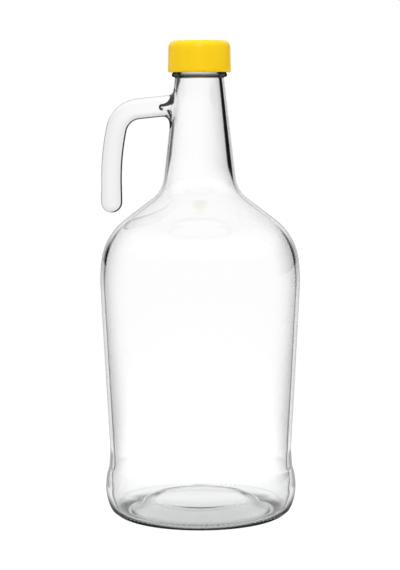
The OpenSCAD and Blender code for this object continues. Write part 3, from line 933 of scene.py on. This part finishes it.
def root_hollow(sheet, patch):
    """The hollow that the neck's inside makes in the handle's root."""
    sheet.look = inside_edges
    foot = [(math.asin(y / inner_r(z)) * inner_r(z), z) for _, y, z in hollow_ring(0.0)]
    mouth = [hollow_edges(a, 0.0) for a in TURNS]
    last = fill_patch(sheet, patch, foot, inner_r, mouth, rings=8, flip=True)
    for d in HOLLOW_L * np.linspace(0, 1, HOLLOW_RINGS + 1)[1:] ** HOLLOW_CROWDING:
        shades = [hollow_edges(a, d) for a in TURNS]
        last = sheet.skin(last, [hollow_ring(d)], flip=True, figures=shades)
    for nose in np.radians(NOSE_TURNS):
        ring = hollow_ring(HOLLOW_L, nose)
        last = sheet.skin(last, [ring], flip=True, figures=[HOLLOW_DARK] * ROUND)
    middle = hollow_section(HOLLOW_L)[0]
    tip = (-inner_r(middle) - HOLLOW_L - HOLLOW_NOSE, 0, middle)
    sheet.close(last, tip, flip=True, figures=[HOLLOW_DARK])


def make_jug():
    """The whole glass moulding as one closed mesh."""
    sheet = Sheet()
    last = underside(sheet)
    sheet.look = outside_edges
    rows = [(r, z, here) for (r, z, _), here in zip(OUTER, AT_ROOT)]
    last, outer_patch = course(sheet, rows, last)
    last = threaded_finish(sheet, last)
    sheet.look = inside_edges
    bore = np.linspace(brim_z - BRIM_INNER_R, neck_z, 9)[1:]
    last = sheet.skin(last, [turned(bore_r, z) for z in bore])
    rows = [(r, z, here) for (r, z), here in zip(INNER, AT_ROOT)]
    last, inner_patch = course(sheet, rows[::-1], last)
    inside_floor(sheet, last)
    handle(sheet, outer_patch)
    root_hollow(sheet, inner_patch[::-1])
    return sheet.object("glass_jug", glass)


# ------------ cap and liner

cap_top_z = brim_z + 2 * LINER_PLAY + LINER_H + CAP_TOP_WALL
cap_z = cap_top_z - CAP_H
cap_bore_r = FINISH_R + THREAD_DEPTH + THREAD_GAP
cap_r = cap_bore_r + SKIRT_WALL


def plain_rows(corners, step, longest):
    """Rows of [radius, height] along rounded corners, with long steps divided."""
    rows = divided([[*p, 0] for p in rounded(corners, step)], longest)
    return [row[:2] for row in rows]


def make_cap():
    """The skirt and top outside, then the skirt's edge, the inner thread and the inner top."""
    inner_top = cap_top_z - CAP_TOP_WALL
    outside = [
        (cap_bore_r, cap_z, 0),
        (cap_r, cap_z, SKIRT_EDGE),
        (cap_r - CAP_DRAFT, cap_top_z, CAP_ROUND),
        (MIDDLE_R, cap_top_z, 0),
    ]
    inside = [
        (CAP_TOP_RINGS[-1], inner_top, 0),
        (cap_bore_r, inner_top, CAP_INNER_ROUND),
        (cap_bore_r, inner_top - CAP_THREAD_HIGH, 0),
    ]
    edge = [(cap_bore_r + SKIRT_EDGE, cap_z), (cap_bore_r, cap_z + SKIRT_EDGE)]
    top = [(r, inner_top) for r in CAP_TOP_RINGS[:-1]] + rounded(inside)[1:]
    rings = [turned(r, z) for r, z in plain_rows(outside, step=0.5, longest=2)[:0:-1] + edge]
    thread_top = inner_top - CAP_THREAD_HIGH - CAP_THREAD_STEP / 3
    for z in np.arange(cap_z + CAP_THREAD_LOW, thread_top, CAP_THREAD_STEP):
        stand = thread_stand(z, thread_z - THREAD_PITCH / 2)
        rings.append(turned(cap_bore_r - THREAD_DEPTH * stand, z))
    rings += [turned(r, z) for r, z in top[::-1]]
    sheet = Sheet()
    first = sheet.ring(rings[0])
    sheet.close(first, (0, 0, cap_top_z))
    last = sheet.skin(first, rings[1:], flip=True)
    sheet.close(last, (0, 0, inner_top), flip=True)
    return sheet.object("screw_cap_moulding", cap_plastic)


def make_liner():
    """A disc with softened edges."""
    r, low, high = cap_bore_r - LINER_GAP, brim_z + LINER_PLAY, brim_z + LINER_PLAY + LINER_H
    edge = [(r, low, LINER_EDGE), (r, high, LINER_EDGE)]
    corners = [(MIDDLE_R, low, 0), *edge, (MIDDLE_R, high, 0)]
    rings = [turned(*row) for row in plain_rows(corners, step=0.08, longest=3)]
    sheet = Sheet()
    first = sheet.ring(rings[0])
    sheet.close(first, (0, 0, low), flip=True)
    last = sheet.skin(first, rings[1:], flip=True)
    sheet.close(last, (0, 0, high))
    return sheet.object("foam_liner_disc", foam)


# ------------ stipple round the heel


def stipple_tree(dot_finish):
    """A ring of flattened dots that lie on a sloping wall."""
    tree = bpy.data.node_groups.new("stipple_ring", "GeometryNodeTree")
    add = partial(node, tree)
    sockets = {"Dots": "NodeSocketInt"}
    for name in ("Ring Radius", "Height", "Dot Radius", "Flatness", "Slope"):
        sockets[name] = "NodeSocketFloat"
    tree.interface.new_socket("Geometry", in_out="OUTPUT", socket_type="NodeSocketGeometry")
    for name, kind in sockets.items():
        tree.interface.new_socket(name, in_out="INPUT", socket_type=kind)
    size = add("NodeGroupInput")
    ring = add("GeometryNodeMeshCircle", Vertices=size["Dots"], Radius=size["Ring Radius"])[0]
    ball = add(
        "GeometryNodeMeshUVSphere",
        Segments=STIPPLE_SEGMENTS,
        Rings=STIPPLE_RINGS,
        Radius=size["Dot Radius"],
    )[0]
    squash = add("ShaderNodeCombineXYZ", X=1.0, Y=1.0, Z=size["Flatness"])[0]
    dot = add("GeometryNodeTransform", Geometry=ball, Scale=squash)[0]
    place = add("GeometryNodeInputPosition")[0]
    outwards = add("ShaderNodeVectorMath", {"operation": "NORMALIZE"}, i0=place)[0]
    rise = add("ShaderNodeCombineXYZ", Z=size["Slope"])[0]
    way = add("ShaderNodeVectorMath", {"operation": "ADD"}, i0=outwards, i1=rise)[0]
    turn = add("FunctionNodeAlignRotationToVector", {"axis": "Z"}, Vector=way)[0]
    dots = add("GeometryNodeInstanceOnPoints", Points=ring, Instance=dot, Rotation=turn)[0]
    lift = add("ShaderNodeCombineXYZ", Z=size["Height"])[0]
    dots = add("GeometryNodeTransform", Geometry=dots, Translation=lift)[0]
    dots = add("GeometryNodeRealizeInstances", Geometry=dots)[0]
    dots = add("GeometryNodeSetMaterial", Geometry=dots, Material=dot_finish)[0]
    add("NodeGroupOutput", Geometry=dots)
    return tree


def make_stipple():
    """The ring of dots, as a plain mesh with the glass's painted edge-shade figures."""
    rows = np.array([row[:3] for row in OUTER])
    rows = rows[np.argsort(rows[:, 1])]
    r, slope = (np.interp(STIPPLE_Z, rows[:, 1], rows[:, k]) for k in (0, 2))
    inwards = STIPPLE_SINK * unit(slope)
    tree = stipple_tree(glass)
    sizes = {
        "Dots": STIPPLE_COUNT,
        "Ring Radius": (r - inwards[0]) * MM,
        "Height": (STIPPLE_Z - inwards[1]) * MM,
        "Dot Radius": STIPPLE_D / 2 * MM,
        "Flatness": (STIPPLE_RISE + STIPPLE_SINK) / (STIPPLE_D / 2),
        "Slope": tan(slope),
    }
    seed = put("stipple_seed", bpy.data.meshes.new("stipple_seed"))
    grown = seed.modifiers.new("stipple", "NODES")
    grown.node_group = tree
    for item in tree.interface.items_tree:
        if item.in_out == "INPUT":
            grown[item.identifier] = sizes[item.name]
    graph = bpy.context.evaluated_depsgraph_get()
    mesh = bpy.data.meshes.new_from_object(seed.evaluated_get(graph))
    mesh.name = "heel_stipple"
    seed.modifiers.remove(grown)
    bpy.data.objects.remove(seed)
    mesh.shade_smooth()
    carry_edges(mesh, np.tile(STIPPLE_EDGES, (len(mesh.vertices), 1)))
    return put("heel_stipple", mesh)


# ------------ pieces


def mend(ob):
    """Merges points that fall together, and turns every face outwards."""
    bm = bmesh.new()
    bm.from_mesh(ob.data)
    bmesh.ops.remove_doubles(bm, verts=bm.verts, dist=1e-6)
    bmesh.ops.recalc_face_normals(bm, faces=bm.faces)
    bm.to_mesh(ob.data)
    bm.free()


jug = make_jug()
cap = make_cap()
liner = make_liner()
stipple = make_stipple()
for ob in (jug, cap, liner):
    mend(ob)

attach(jug, "bottle")
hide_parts("bottle_base", "bottle_body", "bottle_shoulder", "bottle_neck", "neck_finish", "handle")
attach(stipple, "bottle")
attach(cap, "cap")
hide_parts("screw_cap")
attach(liner, "liner")
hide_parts("cap_liner")

# ------------ studio

FLOOR_HALF = 6.0  # metres
FLOOR_LIT = {"From_Min": 0.25, "From_Max": 0.8}  # metres from the axis: where the lit floor ends
FLOOR_GLOW, FLOOR_GLOW_THROUGH = 0.35, 0.45  # seen past the jug, and through it
ROOM_LIGHT = 0.55
# The room's two dark places: how dark each is, then its limits in the ray's direction, each from
# where the dark starts to where it is full
DARK_PLACES = (
    (0.94, ("X", 0.35, 0.65), ("Y", 0.10, 0.40), ("Z", -0.07, -0.02), ("Z", 0.50, 0.25)),
    (0.96, ("X", -0.38, -0.48), ("X", -0.70, -0.60), ("Y", 0.2, 0.5), ("Z", -0.07, -0.01), ("Z", 0.2, 0.1)),
)


def background(add):
    """1 for the rays that meet the background: the camera's, mirrored ones and those through glass."""
    path = add("ShaderNodeLightPath")
    seen = path["Is Camera Ray"]
    for kind in ("Is Glossy Ray", "Is Transmission Ray"):
        seen = add("ShaderNodeMath", {"operation": "MAXIMUM"}, i0=seen, i1=path[kind])[0]
    return seen


def studio_paper():
    """White paper that is lit and takes the jug's shadow near it, and runs out into the white."""
    paper = material("studio_floor_white", "#FFFFFF")
    add = partial(node, paper.node_tree)
    lit = add("ShaderNodeBsdfDiffuse", Color=linear("#E1E1E1"))[0]
    through = add("ShaderNodeLightPath")["Is Transmission Ray"]
    glow = add(
        "ShaderNodeMix",
        {"data_type": "FLOAT"},
        Factor=through,
        i2=FLOOR_GLOW,
        i3=FLOOR_GLOW_THROUGH,
    )[0]
    seen = background(add)
    glow = add("ShaderNodeMath", {"operation": "MULTIPLY"}, i0=seen, i1=glow)[0]
    glow = add("ShaderNodeEmission", Color=linear("#FFFFFF"), Strength=glow)[0]
    near = add("ShaderNodeAddShader", i0=lit, i1=glow)[0]
    far = add("ShaderNodeEmission", Color=linear("#FFFFFF"), Strength=seen)[0]
    place = add("ShaderNodeTexCoord")["Object"]
    away = add("ShaderNodeVectorMath", {"operation": "LENGTH"}, i0=place)["Value"]
    share = add("ShaderNodeMapRange", Value=away, **FLOOR_LIT)[0]
    total = add("ShaderNodeMixShader", i0=share, i1=near, i2=far)[0]
    add("ShaderNodeOutputMaterial", Surface=total)
    return paper


def studio_floor():
    mesh = bpy.data.meshes.new("floor")
    corners = [(x * FLOOR_HALF, y * FLOOR_HALF, 0) for x, y in ((-1, -1), (1, -1), (1, 1), (-1, 1))]
    mesh.from_pydata(corners, [], [(0, 1, 2, 3)])
    mesh.materials.append(studio_paper())
    return put("floor", mesh)


def studio_world():
    """A white room with two dark places, low at its back, that only mirrored rays show."""
    world = bpy.data.worlds.new("studio")
    world.use_nodes = True
    world.node_tree.nodes.clear()
    add = partial(node, world.node_tree)
    way = add("ShaderNodeTexCoord")["Generated"]
    way = add("ShaderNodeSeparateXYZ", Vector=way)
    path = add("ShaderNodeLightPath")
    mirrored = add(
        "ShaderNodeMath",
        {"operation": "SUBTRACT", "use_clamp": True},
        i0=path["Is Glossy Ray"],
        i1=path["Is Transmission Ray"],
    )[0]
    light = add("ShaderNodeMapRange", Value=background(add), To_Min=ROOM_LIGHT)[0]
    for depth, *limits in DARK_PLACES:
        dark = add("ShaderNodeMath", {"operation": "MULTIPLY"}, i0=mirrored, i1=depth)[0]
        for axis, start, full in limits:
            window = {"From_Min": start, "From_Max": full, "To_Max": dark}
            dark = add("ShaderNodeMapRange", SOFT_STEP, Value=way[axis], **window)[0]
        rest = add("ShaderNodeMath", {"operation": "SUBTRACT"}, i0=1.0, i1=dark)[0]
        light = add("ShaderNodeMath", {"operation": "MULTIPLY"}, i0=light, i1=rest)[0]
    sky = add("ShaderNodeBackground", Color=linear("#FFFFFF"), Strength=light)[0]
    add("ShaderNodeOutputWorld", Surface=sky)
    return world


def lamp(name, place, target, size, watts):
    """A softbox that leaves no shape in what mirrors."""
    light = bpy.data.lights.new(name, "AREA")
    light.shape = "RECTANGLE"
    light.size, light.size_y = size
    light.energy = watts
    ob = put(name, light)
    way = Vector(target) - Vector(place)
    ob.matrix_world = Matrix.Translation(place) @ way.to_track_quat("-Z", "Y").to_matrix().to_4x4()
    ob.visible_transmission = False
    ob.visible_glossy = False
    return ob


floor = studio_floor()
scene.world = studio_world()

lamp("softbox_top", (0.0, -0.5, 1.5), (0, 0, 0.15), (1.0, 1.0), 9)
lamp("softbox_left", (-1.2, -0.8, 0.8), (0, 0, 0.2), (0.7, 0.9), 8.5)
lamp("softbox_right", (1.2, -0.8, 0.8), (0, 0, 0.2), (0.7, 0.9), 8.5)

# A small softbox that only the cap's shine shows
shine = lamp("softbox_shine", (-0.02, -1.05, 0.80), (0, 0, 0.3), (0.30, 0.12), 9.0)
shine.visible_glossy, shine.visible_diffuse = True, False
shown = bpy.data.collections.new("shine_on")
shown.objects.link(cap)
shine.light_linking.receiver_collection = shown

scene.view_settings.view_transform = "Standard"
